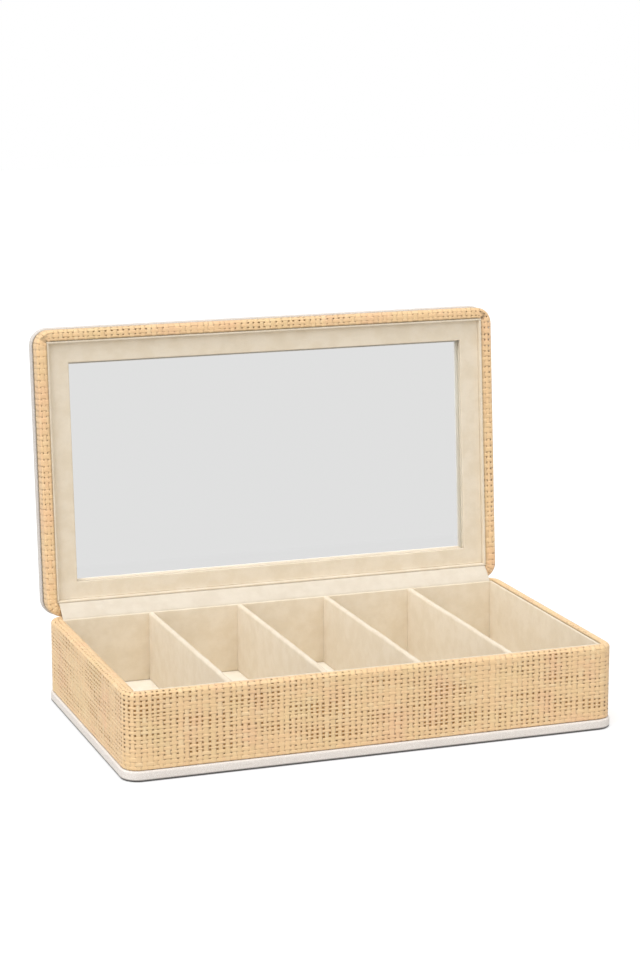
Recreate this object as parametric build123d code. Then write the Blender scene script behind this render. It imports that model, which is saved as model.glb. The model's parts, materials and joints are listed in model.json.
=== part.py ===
"""Eyewear organizer case: a low rectangular case with five lined compartments and a flip lid.

The walls of the case and of the lid are mitred boards wrapped in woven raffia. A base panel and a
lid panel, both covered in pebbled leatherette, stand out a little past the raffia. Inside, suede
covers lining cards, the floor and four dividers. The lid holds a mirror behind a suede-covered
frame, and hangs on two small butt hinges under a suede strip. The strip is drawn tight at the
full opening, and that is what stops the lid.

Frame: millimetres, +X to the case's right, +Y to its rear, +Z up. The origin is the centre of the
underside. The lid is modelled open, as it stands at rest.

Case and lid are built alike, in a rim frame: the rim lies in the plane z = 0 and the walls hang
down from it. on_case lifts a shape of that frame onto the base, and on_lid turns it over, lays it
on the case and swings it open.
"""
import os
from math import cos, hypot, radians, sin

from build123d import *

# Panels under the case and over the lid
panel_width = 340.0
panel_depth = 200.7
panel_corner_radius = 12.0
panel_edge_round = 1.2
panel_overhang = 1.0
base_thickness = 7.0
lid_panel_thickness = 5.4
leatherette_thickness = 0.6

# Walls and their woven covering
case_wall_height = 50.5
lid_wall_height = 13.0
board_thickness = 5.0
rear_board_thickness = 7.7
raffia_thickness = 1.2
rim_round = 2.2
case_raffia_tuck = 12.0
lid_raffia_tuck = 6.0

# Linings
card_thickness = 1.0
suede_thickness = 0.6
lip_drop = 0.3
lip_round = 0.7
floor_board_thickness = 1.6

# Dividers
compartment_count = 5
divider_thickness = 4.0
divider_top_round = 1.6

# Mirror and its frame
mirror_frame_drop = 4.0
mirror_frame_thickness = 3.0
mirror_frame_side = 14.3
mirror_frame_front = 14.0
mirror_frame_rear = 12.0
mirror_frame_round = 0.5
mirror_glass_thickness = 3.0
insert_clearance = 0.2

# Lid hinges
open_angle = 94.7
rim_gap = 0.8
axis_inset = 1.0
hinge_inset = 59.0
hinge_length = 38.0
hinge_knuckle_radius = 1.9
hinge_leaf_thickness = 1.0
hinge_leaf_edge = 0.5
hinge_segments = 5
hinge_segment_gap = 0.3
hinge_pin_radius = 0.95
hinge_pin_clearance = 0.05
hinge_pin_head_radius = 1.4
hinge_pin_head_length = 0.6
hinge_board_clearance = 0.3
screw_count = 3
screw_spacing = 12.0
screw_radius = 0.9
screw_length = 9.0
screw_head_radius = 1.7
screw_head_height = 0.7
screw_slot_width = 0.4
screw_slot_depth = 0.3

# Suede strip over the hinges
strip_thickness = 0.6
strip_case_tuck = 11.0
strip_lid_tuck = 8.0
strip_end_clearance = 0.2

# Outer faces of the raffia
raffia_x = panel_width / 2 - panel_overhang
raffia_y = panel_depth / 2 - panel_overhang
raffia_corner_radius = panel_corner_radius - panel_overhang

# Outer and inner faces of the boards
board_x = raffia_x - raffia_thickness
board_y = raffia_y - raffia_thickness
board_corner_radius = raffia_corner_radius - raffia_thickness
board_inner_x = board_x - board_thickness
board_inner_front = board_thickness - board_y
board_inner_rear = board_y - rear_board_thickness

# Backs of the linings, where the raffia or the hinge strip is tucked behind them
liner_thickness = card_thickness + suede_thickness
liner_back_x = board_inner_x - raffia_thickness
liner_back_front = board_inner_front + raffia_thickness
liner_back_rear = board_inner_rear - strip_thickness

# The lined space inside
inside_x = liner_back_x - liner_thickness
inside_front = liner_back_front + liner_thickness
inside_rear = liner_back_rear - liner_thickness

# Heights and the hinge axis
case_rim_z = base_thickness + case_wall_height
lid_rim_z = case_rim_z + rim_gap
axis_rise = rim_gap / 2
axis_y = raffia_y - axis_inset
hinge_axis = Axis((0, axis_y, case_rim_z + axis_rise), (1, 0, 0))
leaf_bottom = axis_rise - hinge_knuckle_radius
leaf_top = leaf_bottom + hinge_leaf_thickness
leaf_front = board_inner_rear + hinge_leaf_edge
knuckle_front = axis_y - hinge_knuckle_radius - hinge_segment_gap
floor_top = floor_board_thickness + suede_thickness - leatherette_thickness - case_wall_height


def block(x_range, y_range, z_range):
    """Box between the given lowest and highest coordinates."""
    lows, highs = zip(x_range, y_range, z_range)
    sizes = [high - low for low, high in zip(lows, highs)]
    middle = [(high + low) / 2 for low, high in zip(lows, highs)]
    return Pos(*middle) * Box(*sizes)


def rounded_block(half_x, half_y, corner_radius, z_range):
    """Upright block with rounded vertical corners, centred on the origin."""
    outline = RectangleRounded(2 * half_x, 2 * half_y, corner_radius)
    return Pos(0, 0, z_range[0]) * extrude(outline, z_range[1] - z_range[0])


def round_end(shape, radius, top=True):
    """Round the edges of the shape's highest or lowest face."""
    face = shape.faces().sort_by(Axis.Z)[-1 if top else 0]
    return fillet(face.edges(), radius)


def rod(x_range, radius):
    """Round rod along the hinge axis, in the rim frame."""
    middle = (x_range[0] + x_range[1]) / 2
    return Pos(middle, axis_y, axis_rise) * Rot(0, 90, 0) * Cylinder(radius, x_range[1] - x_range[0])


def on_case(shape):
    """From the rim frame to the case."""
    return Pos(0, 0, case_rim_z) * shape


def on_lid(shape):
    """From the rim frame to the open lid."""
    closed = Pos(0, 0, lid_rim_z) * shape.mirror(Plane.XY)
    return closed.rotate(hinge_axis, -open_angle)


def save(name, shape):
    export_step(shape, f"parts/{name}.step")


def panel_core(thickness, wall_height):
    """Board of a base or lid panel, a leatherette thickness inside its covering all round."""
    inset = leatherette_thickness
    half_x, half_y = panel_width / 2 - inset, panel_depth / 2 - inset
    z_range = (inset - thickness - wall_height, -inset - wall_height)
    core = rounded_block(half_x, half_y, panel_corner_radius - inset, z_range)
    ease = panel_edge_round - inset
    return round_end(round_end(core, ease), ease, top=False)


def panel_leatherette(thickness, wall_height):
    """Covering of a panel: outer face, edges, and a turn-in that ends where the floor begins."""
    z_range = (-thickness - wall_height, -wall_height)
    skin = rounded_block(panel_width / 2, panel_depth / 2, panel_corner_radius, z_range)
    skin = round_end(round_end(skin, panel_edge_round), panel_edge_round, top=False)
    opening_z = (-wall_height - 1, 1 - wall_height)
    opening = block((-inside_x, inside_x), (inside_front, inside_rear), opening_z)
    return skin - panel_core(thickness, wall_height) - opening


def board_ring_block(wall_height):
    """Outer form of the wall boards, with the rim's outer edge eased."""
    z_range = (-wall_height, -raffia_thickness)
    solid = rounded_block(board_x, board_y, board_corner_radius, z_range)
    return round_end(solid, rim_round - raffia_thickness)


def mitre_wedge(side, wall_height):
    """Upright wedge that holds one wall's share of the ring, mitred from outer to inner corner."""
    x, y = board_x, board_y
    inner_x = x - 1.2 * board_thickness
    front, rear = 1.2 * board_thickness - y, y - 1.2 * rear_board_thickness
    corners = {
        "front": [(-x, -y), (x, -y), (inner_x, front), (-inner_x, front)],
        "rear": [(-x, y), (-inner_x, rear), (inner_x, rear), (x, y)],
        "left": [(-x, -y), (-inner_x, front), (-inner_x, rear), (-x, y)],
        "right": [(x, -y), (x, y), (inner_x, rear), (inner_x, front)],
    }[side]
    outline = Polygon(*corners, align=None)
    return Pos(0, 0, -wall_height) * extrude(outline, wall_height)


def wall_interior(z_range):
    """The space between the boards."""
    return block((-board_inner_x, board_inner_x), (board_inner_front, board_inner_rear), z_range)


def liner_backs(z_range):
    """The space between the backs of the linings, open to the rear."""
    return block((-liner_back_x, liner_back_x), (liner_back_front, panel_depth), z_range)


def hinge_centres():
    centre = raffia_x - hinge_inset
    return [("left", -centre), ("right", centre)]


def hinge_recess(centre):
    """Room in the rear wall for a hinge: the leaf's seat and clearance round the knuckles."""
    half = hinge_length / 2 + hinge_board_clearance
    seat = block((centre - half, centre + half),
                 (leaf_front - hinge_board_clearance, axis_y), (leaf_bottom, leaf_top))
    pin_half = hinge_length / 2 + hinge_pin_head_length + hinge_board_clearance
    knuckles = rod((centre - pin_half, centre + pin_half), hinge_knuckle_radius + hinge_board_clearance)
    return seat + knuckles


def wall_board(side, wall_height):
    """One mitred wall board. The rear one also has the hinge seats and screw holes."""
    ring = board_ring_block(wall_height) - wall_interior((-wall_height - 1, 1))
    board = ring & mitre_wedge(side, wall_height)
    if side == "rear":
        for _, centre in hinge_centres():
            board -= hinge_recess(centre)
            board -= hinge_screws(centre)
    return board


def woven_band(wall_height, tuck):
    """Raffia round the walls, over the rim and down behind the linings.

    The rear rim stays bare for the hinges, so there the raffia ends at the rim's outer edge.
    """
    outside = rounded_block(raffia_x, raffia_y, raffia_corner_radius, (-wall_height, 0))
    band = round_end(outside, rim_round) - board_ring_block(wall_height)
    band -= liner_backs((-raffia_thickness, 1))
    band += wall_interior((-tuck, -raffia_thickness)) - liner_backs((-tuck - 1, 1))
    for _, centre in hinge_centres():
        band -= hinge_recess(centre)
    return band


def liner_block(side, wall_height):
    """Full thickness of one lining, card and suede together, with its lip edge softened."""
    spans = {
        "front": ((-liner_back_x, liner_back_x), (liner_back_front, inside_front)),
        "rear": ((-liner_back_x, liner_back_x), (inside_rear, liner_back_rear)),
        "left": ((-liner_back_x, -inside_x), (inside_front, inside_rear)),
        "right": ((inside_x, liner_back_x), (inside_front, inside_rear)),
    }
    shape = block(*spans[side], (-wall_height, -lip_drop))
    top_edges = shape.edges().group_by(Axis.Z)[-1]
    inner_edge = {
        "front": top_edges.sort_by(Axis.Y)[-1],
        "rear": top_edges.sort_by(Axis.Y)[0],
        "left": top_edges.sort_by(Axis.X)[-1],
        "right": top_edges.sort_by(Axis.X)[0],
    }[side]
    return fillet([inner_edge], lip_round)


def liner_card(side, wall_height):
    """The card of one lining, on its wall side and a suede thickness below the lip."""
    x, front, rear = liner_back_x, liner_back_front, liner_back_rear
    spans = {
        "front": ((-x, x), (front, front + card_thickness)),
        "rear": ((-x, x), (rear - card_thickness, rear)),
        "left": ((-x, card_thickness - x), (inside_front, inside_rear)),
        "right": ((x - card_thickness, x), (inside_front, inside_rear)),
    }
    return block(*spans[side], (-wall_height, -lip_drop - suede_thickness))


def floor_board():
    z_range = (-case_wall_height - leatherette_thickness, floor_top - suede_thickness)
    return block((-inside_x, inside_x), (inside_front, inside_rear), z_range)


def floor_suede():
    z_range = (floor_top - suede_thickness, floor_top)
    return block((-inside_x, inside_x), (inside_front, inside_rear), z_range)


def divider_centres():
    """Middle of each divider, so that all compartments are equally wide."""
    spare = 2 * inside_x - (compartment_count - 1) * divider_thickness
    pitch = spare / compartment_count + divider_thickness
    return [pitch * (i + 1) - inside_x - divider_thickness / 2 for i in range(compartment_count - 1)]


def divider_core(centre):
    half = divider_thickness / 2 - suede_thickness
    z_range = (floor_top, -lip_drop - suede_thickness)
    return block((centre - half, centre + half), (inside_front, inside_rear), z_range)


def divider_suede(centre):
    """Suede folded over a divider's core, with a rounded fold along the top."""
    half = divider_thickness / 2
    shape = block((centre - half, centre + half), (inside_front, inside_rear), (floor_top, -lip_drop))
    long_edges = shape.edges().group_by(Axis.Z)[-1].filter_by(Axis.Y)
    return fillet(long_edges, divider_top_round) - divider_core(centre)


def mirror_window(grow):
    """Plan spans of the mirror's opening, grown by the given amount on each side."""
    half_x = inside_x - mirror_frame_side + grow
    front, rear = inside_front + mirror_frame_front - grow, inside_rear - mirror_frame_rear + grow
    return (-half_x, half_x), (front, rear)


def insert_spans():
    """Plan spans of what drops into the lid, inside the lip strips."""
    half_x = inside_x - insert_clearance
    return (-half_x, half_x), (inside_front + insert_clearance, inside_rear - insert_clearance)


def mirror_frame_strip(side):
    """One card strip of the mirror's frame, under the suede."""
    outer_x, outer_y = insert_spans()
    window_x, window_y = mirror_window(suede_thickness)
    spans = {
        "front": (outer_x, (outer_y[0], window_y[0])),
        "rear": (outer_x, (window_y[1], outer_y[1])),
        "left": ((outer_x[0], window_x[0]), window_y),
        "right": ((window_x[1], outer_x[1]), window_y),
    }[side]
    z_top = -mirror_frame_drop - suede_thickness
    return block(*spans, (-mirror_frame_drop - mirror_frame_thickness, z_top))


def mirror_frame_suede():
    """Suede over the mirror's frame, wrapped round the window's edges down to the glass."""
    z_range = (-mirror_frame_drop - mirror_frame_thickness, -mirror_frame_drop)
    window = block(*mirror_window(0), (z_range[0] - 1, z_range[1] + 1))
    frame = block(*insert_spans(), z_range) - window
    window_x, window_y = mirror_window(0)
    lip = frame.edges().group_by(Axis.Z)[-1].filter_by_position(Axis.X, *window_x)
    lip = lip.filter_by_position(Axis.Y, *window_y)
    frame = fillet(lip, mirror_frame_round)
    for side in ("front", "rear", "left", "right"):
        frame -= mirror_frame_strip(side)
    return frame


def mirror_glass():
    z_top = -mirror_frame_drop - mirror_frame_thickness
    return block(*insert_spans(), (z_top - mirror_glass_thickness, z_top))


def mirror_backing():
    """Board that fills the lid between the glass and the lid panel's core."""
    z_top = -mirror_frame_drop - mirror_frame_thickness - mirror_glass_thickness
    return block(*insert_spans(), (-lid_wall_height - leatherette_thickness, z_top))


def hinge_leaf(centre, own_segments, bore_radius):
    """Leaf of a butt hinge: a plate let into the rim, with knuckles on every other segment."""
    start = centre - hinge_length / 2
    pitch = (hinge_length + hinge_segment_gap) / hinge_segments
    length = pitch - hinge_segment_gap
    z_range = (leaf_bottom, leaf_top)
    leaf = block((start, start + hinge_length), (leaf_front, knuckle_front), z_range)
    for i in own_segments:
        x_range = (start + i * pitch, start + i * pitch + length)
        leaf += block(x_range, (knuckle_front, axis_y), z_range)
        leaf += rod(x_range, hinge_knuckle_radius)
    leaf -= rod((start, start + hinge_length), bore_radius)
    return leaf - hinge_screws(centre, slots=False)


def hinge_pin(centre):
    half = hinge_length / 2
    pin = rod((centre - half, centre + half), hinge_pin_radius)
    for end in (-1, 1):
        near, far = centre + end * half, centre + end * (half + hinge_pin_head_length)
        pin += rod((min(near, far), max(near, far)), hinge_pin_head_radius)
    return pin


def hinge_screw(x, slots):
    """Countersunk slotted screw, its head flush with the leaf."""
    y = (leaf_front + knuckle_front) / 2
    shank_length = screw_length - screw_head_height
    shank_middle = leaf_top - screw_head_height - shank_length / 2
    head = Cone(screw_radius, screw_head_radius, screw_head_height)
    screw = Pos(x, y, leaf_top - screw_head_height / 2) * head
    screw += Pos(x, y, shank_middle) * Cylinder(screw_radius, shank_length)
    if slots:
        slot = Box(2 * screw_head_radius, screw_slot_width, 2 * screw_slot_depth)
        screw -= Pos(x, y, leaf_top) * slot
    return screw


def hinge_screws(centre, slots=False):
    """The screws of one leaf, as separate solids."""
    first = centre - screw_spacing * (screw_count - 1) / 2
    return Compound([hinge_screw(first + i * screw_spacing, slots) for i in range(screw_count)])


def all_hinge_screws():
    return Compound([hinge_screws(centre, slots=True) for _, centre in hinge_centres()])


def ribbon(points, thickness):
    """Outline of a strip of even thickness along a bent path, mitred at the bends."""
    directions = []
    for (ax, ay), (bx, by) in zip(points, points[1:]):
        length = hypot(bx - ax, by - ay)
        directions.append(((bx - ax) / length, (by - ay) / length))
    left, right = [], []
    for i, (px, py) in enumerate(points):
        before, after = directions[max(i - 1, 0)], directions[min(i, len(directions) - 1)]
        normal = (-(before[1] + after[1]) / 2, (before[0] + after[0]) / 2)
        reach = thickness / 2 / (normal[0] ** 2 + normal[1] ** 2)
        left.append((px + normal[0] * reach, py + normal[1] * reach))
        right.append((px - normal[0] * reach, py - normal[1] * reach))
    return Polygon(*left, *reversed(right), align=None)


def swung_open(y, z):
    """Where a point of the closed lid, in the plane of a cross-section, stands when it is open."""
    axis_z = case_rim_z + axis_rise
    out, up = y - axis_y, z - axis_z
    turn = -radians(open_angle)
    return axis_y + out * cos(turn) - up * sin(turn), axis_z + out * sin(turn) + up * cos(turn)


def hinge_lining():
    """Suede strip over the hinges, tight at rest: behind the rear lining, across, into the lid."""
    tuck_y = board_inner_rear - strip_thickness / 2
    path = [(tuck_y, case_rim_z - strip_case_tuck), (tuck_y, case_rim_z - lip_drop),
            swung_open(tuck_y, lid_rim_z + lip_drop), swung_open(tuck_y, lid_rim_z + strip_lid_tuck)]
    outline = Plane.YZ * ribbon(path, strip_thickness)
    return extrude(outline, liner_back_x - strip_end_clearance, both=True)


def build_shell(prefix, place, wall_height, tuck, panel_name, panel_thickness):
    """What case and lid share: the panel, the wall boards and the raffia."""
    save(f"{panel_name}_board", place(panel_core(panel_thickness, wall_height)))
    save(f"{panel_name}_leatherette", place(panel_leatherette(panel_thickness, wall_height)))
    for side in ("front", "rear", "left", "right"):
        save(f"{prefix}_{side}_board", place(wall_board(side, wall_height)))
    save(f"{prefix}_raffia", place(woven_band(wall_height, tuck)))


def build_case():
    build_shell("case", on_case, case_wall_height, case_raffia_tuck, "base", base_thickness)
    for side in ("front", "rear", "left", "right"):
        card = liner_card(side, case_wall_height)
        save(f"case_{side}_liner_card", on_case(card))
        save(f"case_{side}_liner_suede", on_case(liner_block(side, case_wall_height) - card))
    save("floor_board", on_case(floor_board()))
    save("floor_suede", on_case(floor_suede()))
    for number, centre in enumerate(divider_centres(), start=1):
        save(f"divider_{number}_board", on_case(divider_core(centre)))
        save(f"divider_{number}_suede", on_case(divider_suede(centre)))


def build_lid():
    build_shell("lid", on_lid, lid_wall_height, lid_raffia_tuck, "lid_panel", lid_panel_thickness)
    for side in ("front", "rear", "left", "right"):
        save(f"lid_{side}_liner", on_lid(liner_block(side, lid_wall_height)))
        save(f"mirror_frame_{side}", on_lid(mirror_frame_strip(side)))
    save("mirror_frame_suede", on_lid(mirror_frame_suede()))
    save("mirror_glass", on_lid(mirror_glass()))
    save("mirror_backing", on_lid(mirror_backing()))


def build_hinges():
    case_segments = range(0, hinge_segments, 2)
    lid_segments = range(1, hinge_segments, 2)
    for side, centre in hinge_centres():
        case_leaf = hinge_leaf(centre, case_segments, hinge_pin_radius)
        lid_leaf = hinge_leaf(centre, lid_segments, hinge_pin_radius + hinge_pin_clearance)
        save(f"hinge_{side}_case_leaf", on_case(case_leaf))
        save(f"hinge_{side}_lid_leaf", on_lid(lid_leaf))
        save(f"hinge_{side}_pin", on_case(hinge_pin(centre)))
    save("case_hinge_screws", on_case(all_hinge_screws()))
    save("lid_hinge_screws", on_lid(all_hinge_screws()))
    save("hinge_lining", hinge_lining())


os.makedirs("parts", exist_ok=True)
build_case()
build_lid()
build_hinges()
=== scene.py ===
"""Looks of the eyewear organizer case: woven raffia, pebbled leatherette, suede linings and a
mirror.

Sizes are millimetres in the rim frame, where the rim lies in the plane z = 0 and the walls hang
down from it. on_case and on_lid take points from there to the case and to the open lid, in metres.
"""
import json
from collections import namedtuple
from math import cos, pi, radians, sin

import bpy
import numpy as np
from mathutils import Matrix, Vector


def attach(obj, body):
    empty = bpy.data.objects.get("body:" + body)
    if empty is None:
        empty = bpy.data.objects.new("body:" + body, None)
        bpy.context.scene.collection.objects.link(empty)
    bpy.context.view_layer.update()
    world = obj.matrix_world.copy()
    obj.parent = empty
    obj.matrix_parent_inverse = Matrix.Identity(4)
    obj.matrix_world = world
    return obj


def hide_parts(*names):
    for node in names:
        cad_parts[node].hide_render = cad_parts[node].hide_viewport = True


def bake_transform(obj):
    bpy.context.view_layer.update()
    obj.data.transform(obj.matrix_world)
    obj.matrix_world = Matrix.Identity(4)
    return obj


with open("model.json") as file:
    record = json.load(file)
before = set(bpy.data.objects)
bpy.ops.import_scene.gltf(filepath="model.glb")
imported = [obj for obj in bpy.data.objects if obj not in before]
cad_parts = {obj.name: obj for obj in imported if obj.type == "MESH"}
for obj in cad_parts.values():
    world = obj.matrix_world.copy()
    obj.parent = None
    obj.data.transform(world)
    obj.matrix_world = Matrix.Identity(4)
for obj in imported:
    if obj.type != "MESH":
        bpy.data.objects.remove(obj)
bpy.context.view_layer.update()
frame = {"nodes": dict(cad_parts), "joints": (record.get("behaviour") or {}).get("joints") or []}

# Sizes that the solids have too
raffia_x, raffia_y, raffia_corner = 169.0, 99.35, 11.0
raffia_thickness = 1.2
case_wall, lid_wall = 50.5, 13.0
outer_round = 2.2
panel_x, panel_y, panel_corner = 170.0, 100.35, 12.0
base_thickness, lid_thickness = 7.0, 5.4
panel_round = 1.2
liner_x, liner_rear = 161.6, 89.85
inside_x, inside_front, inside_rear = 160.0, -90.35, 88.25
lip_drop, lip_reach, lip_front_round, lip_back_round = 0.3, 1.6, 0.75, 0.55
suede = 0.6
case_rim_z, lid_rim_z = 57.5, 58.3
floor_top = -48.9
divider_xs = (-97.2, -32.4, 32.4, 97.2)
divider_half, divider_round = 2.0, 1.65
frame_drop = 4.0
frame_side, frame_front, frame_rear = 14.3, 14.0, 12.0
silver = -9.4
window = np.array([-inside_x + frame_side, inside_x - frame_side,
                   inside_front + frame_front, inside_rear - frame_rear])
hinge = frame["joints"][0]
axis_y, axis_z = 1000 * hinge["pos_m"][1], 1000 * hinge["pos_m"][2]
open_angle = radians(hinge["range_deg"][1])

# Sizes of the looks alone
suede_drawn = suede - 0.02  # a hair thinner than its solid
clear = 0.05                # room at the ends of a sheet
skin_thickness = 0.5        # the leatherette's


# ---- Places ----

def on_case(points):
    """Rim frame in mm to the case in metres: lifted to the case's rim."""
    return (points + [0, 0, case_rim_z]) / 1000


def on_lid(points):
    """Rim frame in mm to the open lid in metres: turned over onto the case, then swung back
    about the hinge."""
    x, out, up = points[..., 0], points[..., 1] - axis_y, lid_rim_z - points[..., 2] - axis_z
    c, s = cos(open_angle), -sin(open_angle)
    return np.stack([x, axis_y + out * c - up * s, axis_z + out * s + up * c], -1) / 1000


places = {"case": on_case, "lid": on_lid}


# ---- Meshes from grids ----

def grid_quads(rows, columns, wrap_rows=False, wrap_columns=False):
    """Quads between neighbours of a grid of points numbered row by row."""
    r = np.arange(rows if wrap_rows else rows - 1)
    c = np.arange(columns if wrap_columns else columns - 1)
    r, c = np.meshgrid(r, c, indexing="ij")
    r2, c2 = (r + 1) % rows, (c + 1) % columns
    quads = np.stack([r * columns + c, r * columns + c2, r2 * columns + c2, r2 * columns + c], -1)
    return quads.reshape(-1, 4)


def piece(name, points, quads, body, finish, nodes, marks=None, smooth=True):
    """Mesh object of quads, turned to face outwards by the sign of its volume, riding on a body.

    Marks are four values for each point: three for the strand finish, then the depth of painted
    shade."""
    points = np.asarray(points, float).reshape(-1, 3)
    a, b, c, d = (points[quads[:, i]] for i in range(4))
    volume = (a * np.cross(b, c)).sum() + (a * np.cross(c, d)).sum()
    if volume < 0:
        quads = quads[:, ::-1]
    mesh = bpy.data.meshes.new(name)
    mesh.vertices.add(len(points))
    mesh.vertices.foreach_set("co", points.astype(np.float32).ravel())
    mesh.loops.add(quads.size)
    corners = np.ascontiguousarray(quads).astype(np.int32).ravel()
    mesh.loops.foreach_set("vertex_index", corners)
    mesh.polygons.add(len(quads))
    mesh.polygons.foreach_set("loop_start", np.arange(0, quads.size, 4, dtype=np.int32))
    mesh.polygons.foreach_set("use_smooth", np.broadcast_to(smooth, len(quads)).copy())
    mesh.update(calc_edges=True)
    if marks is not None:
        attribute = mesh.attributes.new("strand", "FLOAT_VECTOR", "POINT")
        attribute.data.foreach_set("vector", marks[:, :3].astype(np.float32).ravel())
        mark_painted_shade(mesh, marks[:, 3])
    mesh.materials.append(finish)
    made = bpy.data.objects.new(name, mesh)
    bpy.context.scene.collection.objects.link(made)
    if body:
        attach(made, body)
    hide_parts(*nodes)
    return made


def mark_painted_shade(mesh, depth):
    """Tell the finish how much painted shade darkens each point's colour, from 0 to 1."""
    attribute = mesh.attributes.new("painted_shade", "FLOAT", "POINT")
    attribute.data.foreach_set("value", depth.astype(np.float32).ravel())


def slow(rng, count, along, wavelength):
    """Drift from about -1 to 1 along each of count strands: four sines of random phase and pace."""
    phase = rng.uniform(0, 2 * pi, (4, count, 1))
    pace = rng.uniform(0.5, 1.9, (4, count, 1)) * 2 * pi / wavelength
    return np.sin(pace * along + phase).sum(0) / 2.4


def ripple(points, seed, size, height):
    """Low swells over a surface, in mm: six plane waves of random direction and phase, about
    size long."""
    rng = np.random.default_rng(seed)
    waves = rng.normal(size=(6, 3)) * 2 * pi / size
    phase = rng.uniform(0, 2 * pi, 6)
    return height * np.sin(points @ waves.T + phase).sum(-1) / 3


def thick(middle, thickness, closed=False):
    """Sheet of even thickness round a grid of middle points: half to each side along the grid's
    normal, with its border closed. A closed grid joins its last row to its first."""
    if closed:
        along = np.roll(middle, -1, 0) - np.roll(middle, 1, 0)
    else:
        along = np.gradient(middle, axis=0)
    normal = np.cross(along, np.gradient(middle, axis=1))
    normal /= np.linalg.norm(normal, axis=-1, keepdims=True)
    rows, columns = middle.shape[:2]
    points = np.concatenate([(middle + normal * thickness / 2).reshape(-1, 3),
                             (middle - normal * thickness / 2).reshape(-1, 3)])
    number = np.arange(rows * columns).reshape(rows, columns)
    other = number + rows * columns
    front = grid_quads(rows, columns, wrap_rows=closed)
    back = front[:, ::-1] + rows * columns
    rims = [(number[:, 0], other[:, 0]), (other[:, -1], number[:, -1])]
    if not closed:
        rims += [(other[0], number[0]), (number[-1], other[-1])]
    sides = []
    for near, far in rims:
        if closed:
            near, far = np.append(near, near[0]), np.append(far, far[0])
        sides.append(np.stack([near[:-1], near[1:], far[1:], far[:-1]], -1))
    return points, np.concatenate([front, back, *sides])


def spaced(low, high, step, edge):
    """Positions from low to high about step apart, with a closer one by each end."""
    count = max(2, int(round((high - low - 2 * edge) / step)) + 1)
    return np.concatenate([[low], np.linspace(low + edge, high - edge, count), [high]])


def smooth_step(x, low, high):
    """0 at low, 1 at high, and 3u^2 - 2u^3 of the share u between them."""
    share = np.clip((x - low) / (high - low), 0, 1)
    return share * share * (3 - 2 * share)


# ---- The woven raffia ----

# What the raffia of the case or lid is like: the wall's height, the cloth's reach across the rim,
# the roll at its inner edge, how far it puffs up on the rim and swells to the right below it, how
# tightly it is drawn on the rim, 1 for a tuck at the front corners with painted shade in it and for
# painted shade along every side of the inner edge and at the wall's foot (else only on the right),
# how much further it reaches on the left, over the lining's lip, and how open the weave is on the
# left, as a factor.
Rim = namedtuple("Rim", "wall reach roll puff swell drawn folded over left_open")

warp_pitch, weft_pitch = 4.05, 2.92
pitch_spread_s, pitch_spread_t = 0.13, 0.12
weave_middle, weave_swing, weave_drift = -0.14, 0.045, 0.015
strand_crown, strand_edge, strand_shoulder = 0.015, -0.075, 0.24
warp_gap, weft_gap = (0.78, 0.30, 0.10, 1.40), (0.58, 0.28, 0.10, 1.00)  # mean, spread, limits
most_warp_gap, most_weft_gap = 1.5, 1.15
patch_length, patch_height = 85.0, 24.0
rear_top, rear_reach = 1.3, 1.75
bottom_gap, edge_gap = 0.45, 0.06
tuck_length = 3.0
backing_top = -raffia_thickness + 0.07
backing_past_corner = 0.47  # how far round the rear corners the backing starts, in corner radii
backing_over_rim = 10.2


def contour(s, half_x, half_y, radius):
    """Point and outward normal at the length s along a rounded rectangle, clockwise from the
    middle of the rear side."""
    quarter = radius * pi / 2
    lengths = [half_x - radius, quarter, 2 * (half_y - radius), quarter, 2 * (half_x - radius),
               quarter, 2 * (half_y - radius), quarter, half_x - radius]
    place, heading, begin = np.array([0.0, half_y]), 0.0, 0.0
    starts, origins, headings, bends = [], [], [], []
    for i, length in enumerate(lengths):
        starts.append(begin)
        origins.append(place)
        headings.append(heading)
        bends.append(-1 / radius if i % 2 else 0.0)
        if i % 2:
            turned = heading - pi / 2
            step = np.array([sin(turned) - sin(heading), cos(heading) - cos(turned)])
            place = place - radius * step
            heading = turned
        else:
            place = place + length * np.array([cos(heading), sin(heading)])
        begin += length
    k = np.clip(np.searchsorted(starts, s, side="right") - 1, 0, len(starts) - 1)
    run, origin = s - np.array(starts)[k], np.array(origins)[k]
    first, bend = np.array(headings)[k], np.array(bends)[k]
    now = first + bend * run
    safe = np.where(bend == 0, 1.0, bend)
    x = np.where(bend == 0, run * np.cos(first), (np.sin(now) - np.sin(first)) / safe)
    y = np.where(bend == 0, run * np.sin(first), (np.cos(first) - np.cos(now)) / safe)
    return origin + np.stack([x, y], -1), np.stack([-np.sin(now), np.cos(now)], -1)


def contour_length(half_x, half_y, radius):
    return 4 * (half_x + half_y - 2 * radius) + 2 * pi * radius


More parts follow.
